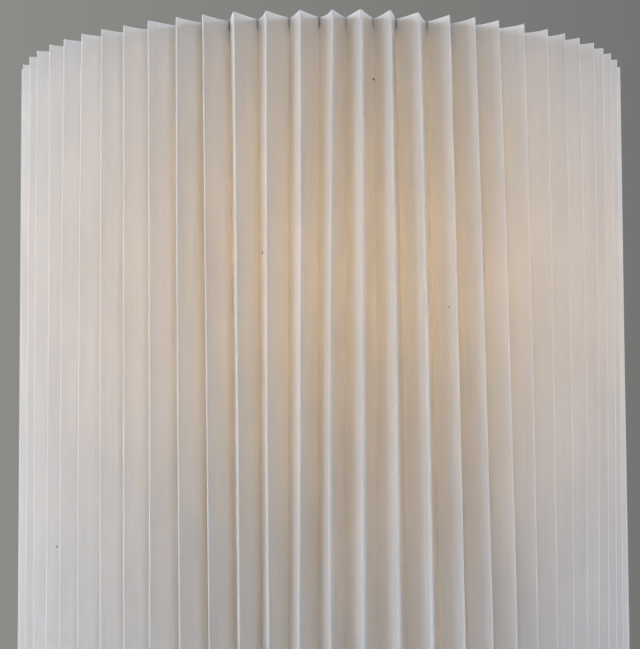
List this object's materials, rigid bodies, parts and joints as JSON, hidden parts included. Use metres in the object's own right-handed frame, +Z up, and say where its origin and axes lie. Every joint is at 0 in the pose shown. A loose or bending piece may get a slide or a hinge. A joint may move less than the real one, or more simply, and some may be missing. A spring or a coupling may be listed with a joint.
{
  "type": "table lamp",
  "caption": "Table lamp with a straight accordion-pleated paper drum shade held on a wire carrier over a bulb, on a glazed body with a turned wooden foot.",
  "frame": {"origin": "middle of the underside, where the felt rests", "axes": "+Z up along the lamp's axis, -Y the front with the turn switch, +Y the back with the cord inlet"},
  "size_m": [0.2998, 0.2998, 0.5702],
  "materials": {
    "pleated_paper": "matt uncoated paper, translucent",
    "card_band": "matt card",
    "white_wire": "white powder coat, satin",
    "brass": "lacquered, satin",
    "bright_brass": "turned and polished",
    "steel": "zinc plated",
    "phenolic": "moulded, dark brown black",
    "fibre": "vulcanised fibre",
    "glaze": "off-white glaze, softly glossy",
    "turned_wood": "oiled, satin",
    "cork": "cork sheet",
    "felt": "wool felt",
    "rubber_bush": "matt",
    "lamp_glass": "inside-frosted soda glass",
    "clear_glass": "clear",
    "cap_aluminium": "drawn, satin",
    "black_glass": "fused black glass",
    "solder": "tinned",
    "filament_wire": "tungsten"
  },
  "bodies": {
    "base": {"felt_pad": "felt", "plinth": "turned_wood", "cord_grommet": "rubber_bush", "base_washer": "steel", "base_nut": "steel", "lamp_pipe": "steel", "cork_gasket": "cork", "ceramic_body": "glaze", "vase_cap": "brass", "check_ring": "bright_brass", "neck_tube": "brass", "neck_collar": "bright_brass", "harp_saddle": "brass", "saddle_nut": "steel", "socket_cap": "brass", "cap_set_screw": "steel", "socket_shell": "brass", "insulating_sleeve": "fibre", "socket_interior": "phenolic", "terminal_screws": "bright_brass", "screw_shell": "cap_aluminium", "centre_contact": "brass"},
    "switch": {"switch_shaft": "brass", "switch_knob": "bright_brass"},
    "bulb": {"bulb_contact": "solder", "bulb_insulator": "black_glass", "bulb_cap": "cap_aluminium", "bulb_glass": "lamp_glass", "bulb_stem": "clear_glass", "bulb_lead_wires": "filament_wire", "bulb_filament": "filament_wire"},
    "harp": {"harp": "brass"},
    "left_ferrule": {"ferrule_left": "bright_brass"},
    "right_ferrule": {"ferrule_right": "bright_brass"},
    "stud": {"harp_stud": "bright_brass"},
    "shade": {"pleated_panel_front": "pleated_paper", "pleated_panel_back": "pleated_paper", "inner_band_top": "card_band", "inner_band_bottom": "card_band", "top_ring": "white_wire", "bottom_ring": "white_wire", "spider_hub": "white_wire", "spider_arms": "white_wire"},
    "finial": {"finial": "bright_brass"}
  },
  "joints": [
    {"name": "switch_turn", "type": "hinge", "parent": "base", "child": "switch", "pos_m": [0, -0.026, 0.358], "axis": [0, -1, 0], "continuous": true},
    {"name": "bulb_unscrew", "type": "slide", "parent": "base", "child": "bulb", "axis": [0, 0, 1], "range_m": [0, 0.03]},
    {"name": "harp_lift", "type": "slide", "parent": "base", "child": "harp", "axis": [0, 0, 1], "range_m": [0, 0.012]},
    {"name": "left_ferrule_slide", "type": "slide", "parent": "harp", "child": "left_ferrule", "axis": [0, 0, 1], "range_m": [0, 0.014]},
    {"name": "right_ferrule_slide", "type": "slide", "parent": "harp", "child": "right_ferrule", "axis": [0, 0, 1], "range_m": [0, 0.014]},
    {"name": "shade_turn", "type": "hinge", "parent": "harp", "child": "stud", "pos_m": [0, 0, 0.5425], "axis": [0, 0, 1], "continuous": true},
    {"name": "shade_lift", "type": "slide", "parent": "stud", "child": "shade", "axis": [0, 0, 1], "range_m": [0, 0.3]},
    {"name": "finial_off", "type": "slide", "parent": "shade", "child": "finial", "axis": [0, 0, 1], "range_m": [0, 0.02]}
  ]
}
